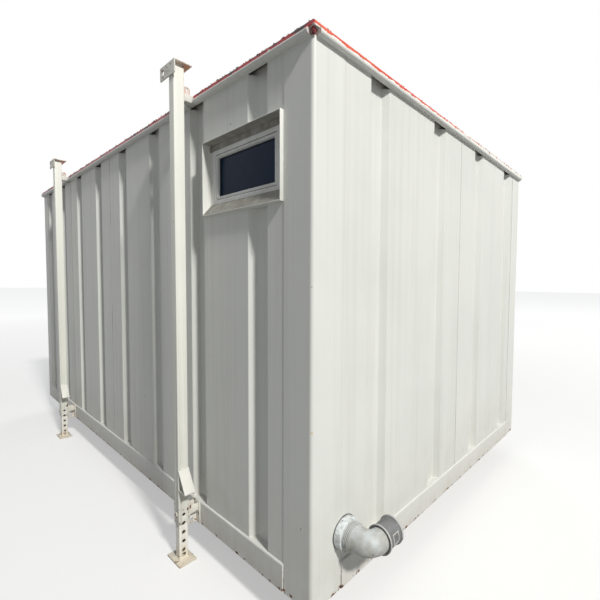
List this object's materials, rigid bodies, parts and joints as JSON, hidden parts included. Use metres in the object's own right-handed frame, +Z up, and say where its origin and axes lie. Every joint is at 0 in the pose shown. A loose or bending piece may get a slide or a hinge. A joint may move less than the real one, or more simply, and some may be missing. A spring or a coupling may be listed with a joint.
{
  "type": "portable site cabin",
  "caption": "Portable steel site cabin with pressed recessed walls, a high window, a door, telescoping jack legs with lifting caps, and a soil pipe outlet.",
  "frame": {"origin": "on the ground under the middle of the overall outline", "axes": "+X along the long walls towards the soil pipe's end, -Y out of the wall with the window, +Z up"},
  "size_m": [5.149, 3.04, 2.865],
  "materials": {
    "wall_paint": "satin grey paint, sun-bleached",
    "rail_paint": "satin grey paint, stone-chipped",
    "edge_white": "white paint over rolled sheet",
    "edge_red": "red paint, flaking",
    "roof_paint": "weathered grey paint",
    "joist_primer": "matt grey primer",
    "floor_board": "sealed plywood",
    "lining_board": "white faced board",
    "window_plastic": "white extruded plastic, dusty",
    "window_glass": "sealed unit",
    "door_paint": "satin grey paint",
    "door_metal": "satin steel",
    "soil_plastic": "grey plastic, sun-bleached",
    "leg_paint": "grey paint over steel, rust at the edges",
    "leg_steel": "grey paint, rubbed and rusted",
    "pin_steel": "rusted steel"
  },
  "bodies": {
    "cabin": {"ceiling": "lining_board", "door_fittings": "door_metal", "door_frame": "door_paint", "door_leaf": "door_paint", "floor_deck": "floor_board", "floor_joists": "joist_primer", "front_fascia": "edge_white", "front_left_corner": "wall_paint", "front_lining": "lining_board", "front_rail": "rail_paint", "front_right_corner": "wall_paint", "front_wall": "wall_paint", "jacking_brackets": "leg_paint", "left_fascia": "edge_white", "left_lining": "lining_board", "left_rail": "rail_paint", "left_wall": "wall_paint", "leg_arms": "leg_paint", "leg_brackets": "leg_paint", "leg_caps": "leg_paint", "leg_pins": "pin_steel", "leg_posts": "leg_paint", "rear_fascia": "edge_white", "rear_left_corner": "wall_paint", "rear_lining": "lining_board", "rear_rail": "rail_paint", "rear_right_corner": "wall_paint", "rear_wall": "wall_paint", "right_fascia": "edge_white", "right_lining": "lining_board", "right_rail": "rail_paint", "right_wall": "wall_paint", "roof_capping": "edge_red", "roof_panel": "roof_paint", "soil_bend": "soil_plastic", "soil_coupling": "soil_plastic", "window_frame": "window_plastic", "window_glass": "window_glass", "window_sash": "window_plastic", "window_surround": "wall_paint"},
    "front_right_leg": {"front_right_inner_leg": "leg_steel"},
    "front_left_leg": {"front_left_inner_leg": "leg_steel"},
    "rear_right_leg": {"rear_right_inner_leg": "leg_steel"},
    "rear_left_leg": {"rear_left_inner_leg": "leg_steel"}
  },
  "joints": [
    {"name": "front_right_leg_slide", "type": "slide", "parent": "cabin", "child": "front_right_leg", "axis": [0, 0, -1], "range_m": [0, 0.6]},
    {"name": "front_left_leg_slide", "type": "slide", "parent": "cabin", "child": "front_left_leg", "axis": [0, 0, -1], "range_m": [0, 0.6]},
    {"name": "rear_right_leg_slide", "type": "slide", "parent": "cabin", "child": "rear_right_leg", "axis": [0, 0, -1], "range_m": [0, 0.6]},
    {"name": "rear_left_leg_slide", "type": "slide", "parent": "cabin", "child": "rear_left_leg", "axis": [0, 0, -1], "range_m": [0, 0.6]}
  ]
}
